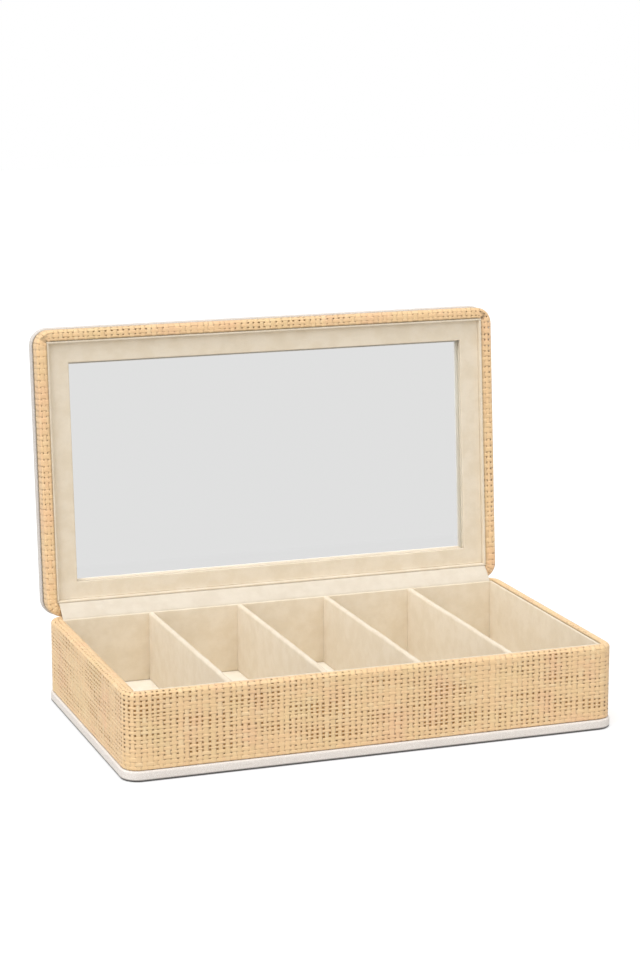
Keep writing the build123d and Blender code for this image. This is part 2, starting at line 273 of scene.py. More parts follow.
def wrapped(s, t, lift, wall, reach, roll):
    """Point of the cloth at the length s round the case and t up from the panel, raised by lift:
    up the wall, round the rim's outer edge, flat across the rim, round its inner edge and down
    inside. Across the rear the cloth stops at rear_reach."""
    s, t, lift = np.broadcast_arrays(s, t, lift)
    base, normal = contour(s, raffia_x, raffia_y, raffia_corner)
    left = raffia_corner - reach
    to_side = left / np.maximum(np.abs(normal[..., 0]), 0.05)
    to_rear = rear_reach / np.maximum(normal[..., 1], 0.05)
    inner = raffia_corner - np.where(normal[..., 1] > 0, np.minimum(to_side, to_rear),
                                     left / np.abs(normal).max(-1))
    a = wall - outer_round
    b = a + outer_round * pi / 2
    c = b + inner - outer_round - roll
    d = c + roll * pi / 2
    turn = np.clip((t - a) / outer_round, 0, pi / 2)
    tuck = np.clip((t - c) / roll, 0, pi / 2)
    out = np.where(t < c, np.cos(turn), -np.sin(tuck))
    rise = np.where(t < c, np.sin(turn), np.cos(tuck))
    inward = outer_round * (1 - np.cos(turn)) + np.clip(t - b, 0, c - b) + roll * np.sin(tuck)
    z = (np.minimum(t, a) - wall + outer_round * np.sin(turn) - roll * (1 - np.cos(tuck))
         - np.maximum(t - d, 0))
    inward = inward - lift * out
    return np.concatenate([base - normal * inward[..., None], (z + lift * rise)[..., None]], -1)


def corner_fold(points):
    """1 on the two lines of the tuck at each front corner of the rim, fading to 0 within a
    millimetre or so. The lines' ends are measured in from the side and up from the front."""
    where = np.stack([raffia_x - np.abs(points[..., 0]), points[..., 1] + raffia_y], -1)
    inner, tip, end = np.array([7.9, 7.8]), np.array([4.2, 5.2]), np.array([7.6, 3.2])
    softness = 0.9
    depth = np.zeros(where.shape[:-1])
    for a, b, strength in ((inner, tip, 1.0), (tip, end, 0.6)):
        share = np.clip((where - a) @ (b - a) / ((b - a) @ (b - a)), 0, 1)
        near = np.linalg.norm(where - a - share[..., None] * (b - a), axis=-1)
        depth = np.maximum(depth, strength * np.exp(-(near / softness) ** 2))
    return depth


def hidden_shade(t, edge, normal, rim):
    """Painted shade, from 0 to 1: how much the cloth's colour is darkened where it goes out of
    sight, at the rim's inner edge, beside the lining, on every side of the lid and on the right of
    the case, and a painted shadow at the foot of the lid's wall, in the corner with the panel, most
    on the left."""
    left, right = np.clip(-normal[..., 0], 0, 1), np.clip(normal[..., 0], 0, 1)
    depth = rim.folded * (0.95 - 0.4 * np.abs(normal[..., 0])) + 0.7 * (1 - rim.folded) * right
    foot = rim.folded * (0.3 + 0.7 * left)
    foot_full, foot_end = 0.9 + 1.9 * left, 1.9 + 2.3 * left
    return np.maximum(depth * smooth_step(t, edge - 1.75, edge - 0.65),
                      foot * (1 - smooth_step(t, foot_full, foot_end)))


def strands(rng, along, low, high, height, upright, rim):
    """Flat strands with a crowned top: a four-point section carried along each strand, between
    its two edges. Underneath they are flat, with sharp edges.

    along, low, high and height are arrays with a row for each strand. An upright strand runs
    in t at edges in s, and a level one runs in s at edges in t."""
    wall = rim.wall
    count, stations = low.shape
    across = np.array([0.0, strand_shoulder, 1 - strand_shoulder, 1.0])
    lean = rng.uniform(0.55, 1.0, (count, 1, 2)) * strand_crown
    crown = np.zeros((count, stations, 4))
    crown[..., 1:3] = lean
    crown[..., [0, 3]] = strand_edge
    sideways = low[..., None] + (high - low)[..., None] * across
    lengthways = np.broadcast_to(along[..., None], sideways.shape)
    s, t = (sideways, lengthways) if upright else (lengthways, sideways)
    _, normal = contour(s, raffia_x, raffia_y, raffia_corner)
    puff = rim.puff * smooth_step(t, wall - 0.5, wall + 1.5)
    puff = puff * (1 - smooth_step(t, wall + 1.5, wall + rim.reach - 1.0))
    swell = rim.swell * (0.5 + 0.5 * normal[..., 0]) * smooth_step(t, wall - 8.0, wall - 2.5)
    swell = swell * (1 - smooth_step(t, wall - 1.6, wall + 1.0))
    lift = weave_middle + height[..., None] + crown + puff + swell
    reach = rim.reach + rim.over * np.clip(-normal[..., 0], 0, 1) ** 4
    fold = rim.folded * corner_fold(wrapped(s, t, lift, wall, reach, rim.roll)) * (t > wall)
    fold_depth = 0.35
    points = wrapped(s, t, lift - fold_depth * fold, wall, reach, rim.roll)
    # painted shade for the colour: the corner tucks and the parts hidden by the lining and the
    # panel
    painted_shade = np.maximum(fold, hidden_shade(t, wall + reach - rim.roll, normal, rim))
    identity = np.broadcast_to(rng.uniform(0, 1, (count, 1, 1)), sideways.shape)
    position = np.broadcast_to(2 * across - 1, sideways.shape)
    marks = np.stack([position, lengthways, identity, painted_shade], -1)
    one = grid_quads(stations, 4, wrap_columns=True)
    last = (stations - 1) * 4
    one = np.concatenate([one, [[3, 2, 1, 0], [last, last + 1, last + 2, last + 3]]])
    quads = (one + 4 * stations * np.arange(count)[:, None, None]).reshape(-1, 4)
    rounded = [True, True, True, False]
    smooth = np.tile(np.append(np.tile(rounded, stations - 1), [False, False]), count)
    return points.reshape(-1, 3), quads, marks.reshape(-1, 4), smooth


def joined(parts):
    """Several (points, quads, marks, smooth) as one."""
    points, quads, marks, smooth = zip(*parts)
    offsets = np.cumsum([0] + [len(p) for p in points[:-1]])
    quads = [q + o for q, o in zip(quads, offsets)]
    return tuple(np.concatenate(p) for p in (points, quads, marks, smooth))


def weave(seed, rim):
    """Plain weave over the walls and the rim: the level strands and the upright ones.

    Between neighbouring strands lies a shared boundary with a gap that drifts along it and from
    patch to patch, so some rows close up and others leave holes. On the left the gaps are scaled
    by rim.left_open. Heights follow a cosine from crossing to crossing, opposite for the two
    sets. Strands that would cross the rear's strip end at rear_top below the rim."""
    rng = np.random.default_rng(seed)
    wall = rim.wall
    round_length = contour_length(raffia_x, raffia_y, raffia_corner)
    bends = (outer_round + rim.roll) * (pi / 2 - 1)
    height_length = wall + rim.reach + bends - outer_round + tuck_length
    warps, wefts = round(round_length / warp_pitch), round(height_length / weft_pitch)

    def boundaries(count, length, spread):
        steps = 1 + spread * np.clip(rng.normal(size=count), -1.6, 1.6)
        return np.concatenate([[0], np.cumsum(steps)]) * length / steps.sum()

    def mean_gaps(count, mean, spread, least, most):
        return np.clip(rng.normal(mean, spread, count), least, most)

    s_lines = boundaries(warps, round_length, pitch_spread_s)
    t_lines = boundaries(wefts, height_length, pitch_spread_t)
    t_lines[0] = bottom_gap
    s_gap_mean = mean_gaps(warps + 1, *warp_gap)
    t_gap_mean = mean_gaps(wefts + 1, *weft_gap)
    s_gap_mean[[0, -1]] = t_gap_mean[0] = edge_gap
    paces = rng.normal(size=(2, 6)) * 2 * pi / np.array([[patch_length], [patch_height]])
    phases = rng.uniform(0, 2 * pi, 6)

    def looseness(s, t):
        """How loose the cloth is, about -1 to 1, in patches about half as long and high as
        patch_length and patch_height."""
        return np.sin(s[..., None] * paces[0] + t[..., None] * paces[1] + phases).sum(-1) / 2

    def calm(t):
        """Above 0 on the rim, where the cloth is drawn tight and its strands lie closer."""
        return rim.drawn * smooth_step(t, wall - 1.2, wall + 1.8)

    def left_factor(normal):
        return 1 + (rim.left_open - 1) * np.clip(-normal[..., 0], 0, 1)

    def to_s(index):
        return np.interp(index, np.arange(warps + 1) - 0.5, s_lines)

    def to_t(index):
        return np.interp(index, np.arange(wefts + 1) - 0.5, t_lines)

    # Level strands, the ones on the rim without their run across the rear
    index = np.linspace(-0.49, warps - 0.51, 4 * (warps - 1) + 5)
    s = to_s(index)[None, :]
    _, normal = contour(s[0], raffia_x, raffia_y, raffia_corner)
    drift = 0.16 * slow(rng, wefts + 1, s, 70.0)
    drift[0] = 0
    lines = t_lines[:, None] + drift
    gap = t_gap_mean[:, None] + 0.22 * slow(rng, wefts + 1, s, 60.0)
    gap = gap + 0.10 * slow(rng, wefts + 1, s, 9.0) + 0.34 * looseness(s, lines)
    gap = np.clip(gap, 0.0, most_weft_gap) * left_factor(normal) * (1 - calm(t_lines[:, None]))
    low, high = (lines + gap / 2)[:-1], (lines - gap / 2)[1:]
    row = np.arange(wefts)[:, None]
    height = weave_swing * np.cos(pi * (index[None, :] + row))
    height = height + weave_drift * slow(rng, wefts, s, 14.0)
    along = np.broadcast_to(s, low.shape)
    whole = high.max(1) < wall - rear_top
    ahead = np.flatnonzero((np.abs(normal[:, 0]) > 0.12) | (normal[:, 1] < 0))
    cut = slice(ahead[0], ahead[-1] + 1)
    level = joined([strands(rng, along[rows, columns], low[rows, columns], high[rows, columns],
                            height[rows, columns], False, rim)
                    for rows, columns in ((whole, slice(None)), (~whole, cut))])

    # Upright strands, the rear's short ones first
    parts = []
    _, normal = contour(to_s(np.arange(warps)), raffia_x, raffia_y, raffia_corner)
    short = (normal[:, 1] > 0) & (np.abs(normal[:, 0]) < 0.14)
    top_index = np.interp(wall - rear_top, t_lines, np.arange(wefts + 1) - 0.5)
    for chosen, last in ((short, top_index), (~short, wefts - 0.55)):
        index = np.linspace(-0.49, last, int(round(4 * last)) + 3)
        t = to_t(index)[None, :]
        which = np.flatnonzero(chosen)
        lines = s_lines[:, None] + np.zeros_like(t)
        _, normal = contour(lines, raffia_x, raffia_y, raffia_corner)
        gap = s_gap_mean[:, None]
        gap = gap + 0.25 * slow(np.random.default_rng(seed + 5), warps + 1, t, 34.0)
        gap = np.clip(gap + 0.42 * looseness(lines, t), 0.0, most_warp_gap) * (1 - calm(t))
        gap = gap * left_factor(normal)
        lines = lines + 0.18 * slow(np.random.default_rng(seed + 6), warps + 1, t, 40.0)
        low, high = (lines + gap / 2)[which], (lines - gap / 2)[which + 1]
        height = -weave_swing * np.cos(pi * (index[None, :] + which[:, None]))
        height = height + weave_drift * slow(rng, len(which), t, 14.0)
        parts.append(strands(rng, np.broadcast_to(t, low.shape), low, high, height, True, rim))
    return level, joined(parts)


def backing(wall, start, stop):
    """Cloth under the strands: the same path as theirs, at the boards' face."""
    low, top, reach, roll = 0.1, 9.0, 7.4, 0.8
    s = np.linspace(start, stop, int((stop - start) / 4))[:, None]
    bend = wall - outer_round
    t = np.concatenate([np.linspace(low, bend, 6), bend + np.linspace(0.5, 3.4, 6),
                        wall + np.linspace(1.8, top, 10)])[None, :]
    return wrapped(s, t, backing_top, wall, reach, roll)


# ---- Shader maths ----

class Value:
    """A socket that takes part in sums written in Python; each step adds a Math node."""

    def __init__(self, tree, socket):
        self.tree, self.socket = tree, socket

    def step(self, operation, *terms):
        node = self.tree.nodes.new("ShaderNodeMath")
        node.operation = operation
        for place, term in zip(node.inputs, terms):
            if isinstance(term, Value):
                self.tree.links.new(term.socket, place)
            else:
                place.default_value = term
        return Value(self.tree, node.outputs[0])

    def __add__(self, other): return self.step("ADD", self, other)
    def __radd__(self, other): return self.step("ADD", other, self)
    def __sub__(self, other): return self.step("SUBTRACT", self, other)
    def __rsub__(self, other): return self.step("SUBTRACT", other, self)
    def __mul__(self, other): return self.step("MULTIPLY", self, other)
    def __rmul__(self, other): return self.step("MULTIPLY", other, self)
    def __truediv__(self, other): return self.step("DIVIDE", self, other)
    def fraction(self): return self.step("FRACT", self)

    def above(self, low, high):
        """0 below low, 1 above high, smooth between."""
        share = (self - low) / (high - low)
        share = share.step("MINIMUM", share, 1.0)
        share = share.step("MAXIMUM", share, 0.0)
        return share * share * (3 - 2 * share)


class Finish:
    """A material with one Principled shader, whose constants are set on its own sockets."""

    def __init__(self, name, **constants):
        self.material = bpy.data.materials.new(name)
        self.material.use_nodes = True
        self.tree = self.material.node_tree
        self.shader = next(n for n in self.tree.nodes if n.type == "BSDF_PRINCIPLED")
        for key, value in constants.items():
            socket = key.replace("_", " ").title().replace("Ior", "IOR")
            self.shader.inputs[socket].default_value = value

    def node(self, kind, settings=(), output=0, **sockets):
        """One output of a new node. Sockets go by name, or as i and their number."""
        made = self.tree.nodes.new("ShaderNode" + kind)
        for key, value in dict(settings).items():
            setattr(made, key, value)
        for key, value in sockets.items():
            place = made.inputs[int(key[1:]) if key[1:].isdigit() else key]
            if isinstance(value, Value):
                self.tree.links.new(value.socket, place)
            else:
                place.default_value = value
        return Value(self.tree, made.outputs[output])

    def place(self):
        """Object coordinates in millimetres."""
        where = self.node("TexCoord", output=3)
        return self.node("VectorMath", {"operation": "SCALE"}, i0=where, Scale=1000.0)

    def split(self, vector):
        """The three numbers of a vector."""
        x = self.node("SeparateXYZ", Vector=vector)
        return [Value(self.tree, output) for output in x.socket.node.outputs]

    def stretch(self, vector, factors):
        return self.node("VectorMath", {"operation": "MULTIPLY"}, i0=vector, i1=factors)

    def noise(self, vector, size, detail=2.0, roughness=0.5):
        """Noise from 0 to 1 with features about size long, in the vector's units."""
        return self.node("TexNoise", Vector=vector, Scale=1.0 / size, Detail=detail,
                         Roughness=roughness)

    def blend(self, factor, first, second):
        return self.node("Mix", {"data_type": "RGBA"}, output=2, i0=factor, i6=first, i7=second)

    def tint(self, colour, factor):
        """The colour with its brightness scaled by a value."""
        return self.node("VectorMath", {"operation": "SCALE"}, i0=colour, Scale=factor)

    def painted_shade(self):
        """How much painted shade darkens the surface's colour, from 0 to 1, as set for each point.
        """
        return self.node("Attribute", {"attribute_name": "painted_shade"}, output=2)

    def feed(self, socket, value):
        self.tree.links.new(value.socket, self.shader.inputs[socket])

    def bump(self, height, depth):
        """Relief of the given height value, depth in millimetres."""
        self.feed("Normal", self.node("Bump", Height=height, Distance=depth / 1000, Strength=1.0))


def raffia_finish():
    """Dried leaf strands: each has its own tone and long fibres."""
    made = Finish("raffia", roughness=0.6, specular_ior_level=0.3, sheen_weight=0.12,
                  sheen_roughness=0.5)
    across, along, own = made.split(
        made.node("Attribute", {"attribute_name": "strand"}, output=1))
    keyed = made.node("CombineXYZ", X=across * 0.9 + own * 83.0, Y=along * 0.055 + own * 37.0,
                      Z=own * 211.0)
    fibre = made.noise(keyed, 0.22, 3.0, 0.6)
    run = made.node("CombineXYZ", X=along + own * 900.0, Y=own * 400.0, Z=own * 77.0)
    patch = made.noise(run, 16.0, 2.0)
    region = made.noise(made.place(), 26.0, 2.0)
    golden, warm = (0.885, 0.620, 0.338, 1), (0.885, 0.592, 0.330, 1)
    rosy, straw = (0.885, 0.560, 0.325, 1), (0.86, 0.635, 0.338, 1)
    brown, pale = (0.83, 0.530, 0.275, 1), (0.93, 0.720, 0.440, 1)
    tone = made.blend((own * 7.31).fraction() * 0.5, golden, warm)
    tone = made.blend(region.above(0.50, 0.72) * 0.7, tone, rosy)
    tone = made.blend(region.above(0.48, 0.28) * 0.6, tone, straw)
    tone = made.blend(patch.above(0.60, 0.85) * 0.5, tone, brown)
    tone = made.blend(patch.above(0.50, 0.25) * 0.5, tone, pale)
    shade = (0.94 + 0.07 * (own * 29.3).fraction()) * (0.95 + 0.10 * fibre)
    # painted shade: the colour is darkened in the corner tucks, at the rim's inner edge and at the
    # lid wall's foot
    made.feed("Base Color", made.tint(tone, shade * (1 - 0.72 * made.painted_shade())))
    made.feed("Roughness", 0.48 + 0.22 * fibre)
    made.bump(fibre, 0.05)
    return made.material


def backing_finish():
    """Brown kraft cloth under the strands."""
    made = Finish("raffia_backing", roughness=0.9, specular_ior_level=0.1)
    thread = made.noise(made.stretch(made.place(), (1.0, 1.0, 3.0)), 0.5, 3.0)
    made.feed("Base Color", made.blend(thread, (0.68, 0.36, 0.11, 1), (0.82, 0.46, 0.16, 1)))
    made.bump(thread, 0.08)
    return made.material


def leatherette_finish():
    """Pebbled coated cloth: small rounded grains with fine creases between them. Painted shade in
    its colour: a painted shadow along the lowest two millimetres, where it turns under the base,
    and the lid painted a little darker, as shade."""
    made = Finish("leatherette", roughness=0.5, specular_ior_level=0.4)
    where = made.place()
    bend = made.node("TexNoise", output=1, Vector=where, Scale=1.1, Detail=2.0)
    bent = made.node("VectorMath", {"operation": "MULTIPLY_ADD"}, i0=bend, i1=(0.5, 0.5, 0.5),
                     i2=where)
    grain = made.node("TexVoronoi", {"feature": "DISTANCE_TO_EDGE"}, Vector=bent, Scale=1.3)
    pebble = grain.above(0.0, 0.34)
    fine = made.noise(where, 0.22, 3.0, 0.6)
    cloud = made.noise(where, 22.0, 2.0)
    colour = made.blend(pebble, (0.80, 0.735, 0.68, 1), (0.99, 0.945, 0.89, 1))
    up = made.split(where)[2]
    # painted shade: a dark shadow line at the base's bottom edge, and all above 60 mm, the lid, 17
    # % darker
    height = (0.08 + 0.92 * up.above(0.9, 2.1)) * (1 - 0.17 * up.above(50.0, 60.0))
    shade = height * (0.93 + 0.12 * fine) * (0.96 + 0.08 * cloud)
    made.feed("Base Color", made.tint(colour, shade))
    made.feed("Roughness", 0.62 - 0.16 * pebble)
    made.bump(pebble + 0.25 * fine, 0.09)
    return made.material


def suede_finish(name, colour, paler):
    """Brushed microsuede: a fine speckle, soft clouds where the nap lies differently, faint
    brush marks."""
    made = Finish(name, roughness=0.95, specular_ior_level=0.15, sheen_weight=0.25,
                  sheen_roughness=0.45)
    where = made.place()
    speck = made.noise(where, 0.45, 3.0, 0.7)
    brushed = made.noise(made.stretch(where, (0.35, 1.0, 0.6)), 2.2, 3.0, 0.6)
    cloud = made.noise(where, 11.0, 3.0, 0.55)
    shade = (0.93 + 0.14 * speck) * (0.965 + 0.07 * brushed) * (0.97 + 0.06 * cloud)
    # painted shade, set for each point: on the mirror frame it darkens the window's edge
    shade = shade * (1 - 0.75 * made.painted_shade())
    tone = made.blend(cloud.above(0.35, 0.65), colour, paler)
    made.feed("Base Color", made.tint(tone, shade))
    made.feed("Roughness", 0.88 + 0.12 * speck)
    made.bump(speck + 0.6 * brushed, 0.10)
    return made.material


def mirror_finish(name, colour, roughness):
    """Silvered glass, very slightly uneven."""
    made = Finish(name, metallic=1.0, base_color=colour)
    made.feed("Roughness", roughness * (1 + made.noise(made.place(), 30.0)))
    return made.material


def brass_finish():
    """Brushed brass with a few darker spots."""
    made = Finish("brass", metallic=1.0)
    where = made.place()
    brush = made.noise(made.stretch(where, (0.15, 3.0, 3.0)), 0.5, 3.0)
    spot = made.noise(where, 3.0, 4.0).above(0.55, 0.75)
    made.feed("Base Color", made.blend(spot * 0.5, (0.83, 0.62, 0.30, 1), (0.55, 0.38, 0.17, 1)))
    made.feed("Roughness", 0.22 + 0.2 * brush + 0.15 * spot)
    made.bump(brush, 0.02)
    return made.material


def pressed_finish(name, dark, pale, size):
    """Pressed board or card: short fibres of two tones lying along the sheet."""
    made = Finish(name, roughness=0.85)
    where = made.place()
    fibre = made.noise(made.stretch(where, (0.4, 0.4, 1.6)), size, 5.0, 0.7)
    fleck = made.noise(where, size * 4, 4.0).above(0.6, 0.7)
    made.feed("Base Color", made.blend(fibre * (1 - 0.4 * fleck), dark, pale))
    made.bump(fibre, 0.08)
    return made.material


raffia = raffia_finish()
kraft = backing_finish()
pebbled = leatherette_finish()
suede_lining = suede_finish("suede", (0.782, 0.680, 0.528, 1), (0.812, 0.718, 0.578, 1))
# a paler copy of the suede: painted light for the compartments' floor
suede_painted_light_floor = suede_finish("suede_painted_light_floor", (0.97, 0.91, 0.80, 1), (0.98, 0.935, 0.84, 1))
# a darker copy of the suede: painted shade for the hinge strip, which faces the key lamp
suede_painted_shade_strip = suede_finish("suede_painted_shade_strip", (0.705, 0.628, 0.518, 1), (0.73, 0.658, 0.552, 1))
mirror = mirror_finish("mirror", (0.745, 0.747, 0.745, 1), 0.012)
mirror_rim = mirror_finish("mirror_rim", (0.86, 0.87, 0.845, 1), 0.35)
# painted shade for the mirror band's front and left, then a warm painted reflection of the frame
# for its rear
mirror_shade = mirror_finish("mirror_shade", (0.60, 0.575, 0.52, 1), 0.5)
mirror_painted_reflection = mirror_finish("mirror_painted_reflection", (0.97, 0.935, 0.87, 1), 0.5)
brass = brass_finish()
fibreboard = pressed_finish("fibreboard", (0.50, 0.33, 0.18, 1), (0.70, 0.50, 0.30, 1), 0.8)
card = pressed_finish("card", (0.42, 0.38, 0.31, 1), (0.60, 0.56, 0.48, 1), 0.4)

for name, node in frame["nodes"].items():
    if "hinge_" in name and name != "hinge_lining":
        finish = brass
    elif "card" in name or name.startswith("mirror_frame_") and name != "mirror_frame_suede":
        finish = card
    elif name == "mirror_glass":
        finish = mirror
    else:
        finish = fibreboard
    node.data.materials.clear()
    node.data.materials.append(finish)


# ---- Pieces ----

def build_weave(part, rim, seed):
    """The raffia of the case or of the lid: level strands, upright strands and the cloth behind
    them, which stops short of the rear."""
    place, node = places[part], f"{part}_raffia"
    rows, posts = (piece(f"{node}_{way}_strands", place(points), quads, part, raffia, [node],
                         marks, smooth)
                   for way, (points, quads, marks, smooth)
                   in zip(("level", "upright"), weave(seed, rim)))
    round_length = contour_length(raffia_x, raffia_y, raffia_corner)
    ahead = raffia_x - raffia_corner + raffia_corner * backing_past_corner
    points, quads = thick(backing(rim.wall, ahead, round_length - ahead), 0.1)
    cloth = piece(f"{node}_backing", place(points), quads, part, kraft, [node])
    flat = ((round_length - 2 * ahead) / 1000, (rim.wall + backing_over_rim) / 1000)


def panel(part, name, node, thickness, wall):
    """Leatherette over a panel: rings of a rounded rectangle, set in by the edge's rounding, then
    ovals, closed across."""
    count = 540
    lower = [(inset, -thickness) for inset in (14.0, 4.0)]
    lower += [(panel_round * (1 - sin(a)), -thickness + panel_round * (1 - cos(a)))
              for a in np.linspace(0, pi / 2, 6)]
    upper = [(inset, -thickness - z) for inset, z in reversed(lower)]
    edge = [(0.0, -thickness * 0.62), (0.0, -thickness * 0.38)]
    rings = []
    for inset, z in lower + edge + upper:
        half_x, half_y = panel_x - inset, panel_y - inset
        corner = max(panel_corner - inset, 0.5)
        s = (np.arange(count) + 0.5) * contour_length(half_x, half_y, corner) / count
        outline, _ = contour(s, half_x, half_y, corner)
        rings.append(np.concatenate([outline, np.full((count, 1), z - wall)], -1))
    turn = 2 * pi * (np.arange(count) + 0.5) / count
    for share in (0.7, 0.4):
        oval = share * np.stack([panel_x * np.sin(turn), panel_y * np.cos(turn)], -1)
        rings.insert(0, np.concatenate([oval, rings[0][:, 2:]], -1))
        rings.append(np.concatenate([oval, rings[-1][:, 2:]], -1))
    quads = grid_quads(len(rings), count, wrap_columns=True)
    j = np.arange(count // 2 - 1)
    across = np.stack([j, j + 1, count - 2 - j, count - 1 - j], -1)
    quads = np.concatenate([quads, across[:, ::-1], across + (len(rings) - 1) * count])
    made = piece(name, places[part](np.concatenate(rings)), quads, part, pebbled, [node])
    skin = made.modifiers.new("skin", "SOLIDIFY")
    skin.thickness, skin.offset = skin_thickness / 1000, -1


def fold_path(bottom, top):
    """Middle line of suede folded over a lip, as (distance from the visible face, height): up the
    face, round the front edge, across and round the back edge."""
    half = suede / 2
    turn = np.linspace(0, pi / 2, 7)
    straight = top - lip_front_round
    heights = np.concatenate([[bottom, bottom + 1.0], np.linspace(bottom + 3, straight - 0.6, 5),
                              [straight - 0.1]])
    up = np.stack([np.full(len(heights), half), heights], -1)
    radius = lip_front_round - half
    front = np.stack([half + radius * (1 - np.cos(turn)), straight + radius * np.sin(turn)], -1)
    radius = lip_back_round - half
    back = np.stack([lip_reach - lip_back_round + radius * np.sin(turn),
                     top - lip_back_round + radius * np.cos(turn)], -1)
    return np.concatenate([up, front, back])


def liner(part, side, bottom, seed):
    """Suede of one lining, folded over its lip, with slow unevenness along it. The raffia comes
    over the lip on the left of the case, so there it lies lower."""
    lowered = 0.9 if (part, side) == ("case", "left") else 0.0
    path = fold_path(bottom, -lip_drop - lowered)
    if side in ("front", "rear"):
        low, high = -liner_x, liner_x
    else:
        low, high = inside_front, inside_rear
    along = spaced(low + clear, high - clear, 3.0, 0.4)[:, None]
    depth, height = path[None, :, 0] + 0 * along, path[None, :, 1] + 0 * along
    along = along + 0 * depth
    level = 0 * along
    wave = ripple(np.stack([along, height, level], -1), seed, 38.0, 0.05)
    depth = depth - np.where(height < -1.6, wave, 0.4 * wave)
    sway = ripple(np.stack([along, level, level], -1), seed + 1, 24.0, 0.08)
    height = height + 0.5 * sway
    middle = {"front": (along, inside_front - depth), "rear": (along, inside_rear + depth),
              "left": (-inside_x - depth, along), "right": (inside_x + depth, along)}[side]
    points, quads = thick(np.stack([*middle, height], -1), suede_drawn)
    node = f"case_{side}_liner_suede" if part == "case" else f"lid_{side}_liner"
    made = piece(f"{part}_{side}_lining", places[part](points), quads, part, suede_lining,
                 [node])


def divider(number, centre, seed):
    """Suede folded over a divider: up one side, round the top and down the other, a little
    uneven."""
    half, radius = divider_half - suede / 2, divider_round - suede / 2
    turn = np.linspace(0, pi / 2, 7)
    heights = np.concatenate([[floor_top + 0.02, floor_top + 1.0],
                              np.linspace(floor_top + 4, -5, 8), [-3.0, -2.2]])
    rise = np.stack([np.full(len(heights), half), heights], -1)
    corner = np.stack([half - radius * (1 - np.cos(turn)),
                       -lip_drop - suede / 2 - radius * (1 - np.sin(turn))], -1)
    side = np.concatenate([rise, corner])
    path = np.concatenate([side, (side * [-1, 1])[::-1]])
    along = spaced(inside_front + clear, inside_rear - clear, 2.5, 0.4)[:, None]
    out, height = path[None, :, 0] + 0 * along, path[None, :, 1] + 0 * along
    along = along + 0 * out
    bow = ripple(np.stack([along, height, out * 4], -1), seed, 60.0, 0.10)
    crest = ripple(np.stack([along, 0 * along, 0 * along], -1), seed + 1, 30.0, 0.16)
    middle = np.stack([centre + out + bow, along, height + crest * (height > -2.1)], -1)
    points, quads = thick(middle, suede_drawn)
    made = piece(f"divider_{number}_cover", on_case(points), quads, "case", suede_lining,
                 [f"divider_{number}_suede"])


def floor_cover():
    """Suede laid over the floor board, with a faint swell."""
    x = spaced(-inside_x + clear, inside_x - clear, 6.0, 0.6)[:, None]
    y = spaced(inside_front + clear, inside_rear - clear, 6.0, 0.6)[None, :]
    x, y = x + 0 * y, y + 0 * x
    z = floor_top - suede / 2 + ripple(np.stack([x, y, 0 * x], -1), 71, 55.0, 0.06)
    points, quads = thick(np.stack([x, y, z], -1), suede_drawn)
    # the floor's suede is painted paler, as light
    made = piece("floor_cover", on_case(points), quads, "case", suede_painted_light_floor, ["floor_suede"])


def mirror_frame():
    """Suede round the mirror: rings between the window's edge and the frame's outer edge, rolled
    over the window's edge, with painted shade on the window's wall and roll, darkest where the
    glass meets it on the front and left."""
    outside = np.array([-inside_x + 0.2, inside_x - 0.2, inside_front + 0.2, inside_rear - 0.2])
    half, radius = suede / 2, 0.8 - suede / 2
    face = -frame_drop - half
    wall = [(half + 0.5, silver + 0.05), (half + 0.5, -frame_drop - 2.2),
            (half + 0.45, -frame_drop - 1.5), (half + 0.2, -frame_drop - 1.1)]
    roll = [(half + radius * (1 - cos(a)), -frame_drop - half - radius * (1 - sin(a)))
            for a in np.linspace(0, pi / 2, 7)]
    flat = [(reach, face) for reach in (1.4, 3.0, 5.0, 7.5, 10.0)]
    rim = [(0.9, face), (0.45, face + 0.06), (0.15, face + 0.22), (0.05, face + 0.50)]
    per_side = 36
    share = np.concatenate([[0.0, 0.002], np.linspace(0.02, 0.98, per_side - 4), [0.998]])
    grow = np.array([-1, 1, -1, 1])

    def ring(bounds, z):
        turns = [bounds[list(pair)] for pair in ((0, 2), (1, 2), (1, 3), (0, 3))]
        xy = np.concatenate([a + (b - a) * share[:, None]
                             for a, b in zip(turns, turns[1:] + turns[:1])])
        return np.concatenate([xy, np.full((len(xy), 1), z)], -1)

    grid = np.stack([ring(window + grow * reach, z) for reach, z in wall + roll + flat]
                    + [ring(outside - grow * inset, z) for inset, z in rim], 1)
    swell = ripple(grid[..., :2] @ np.eye(2, 3), 91, 45.0, 0.05)
    grid[..., 2] += np.where(grid[..., 2] > face - 0.01, swell, 0)
    points, quads = thick(grid, suede_drawn, closed=True)
    made = piece("mirror_frame_cover", on_lid(points), quads, "lid", suede_lining,
                 ["mirror_frame_suede"])
    # painted shade on the rings by the window's edge, stronger on the front and left
    shade = np.zeros(grid.shape[:2])
    shade[:, 2:6] = 0.6, 1.0, 0.8, 0.3
    shade[:per_side, :3], shade[3 * per_side:, :3] = 0.95, 0.75
    mark_painted_shade(made.data, np.tile(shade.ravel(), 2))


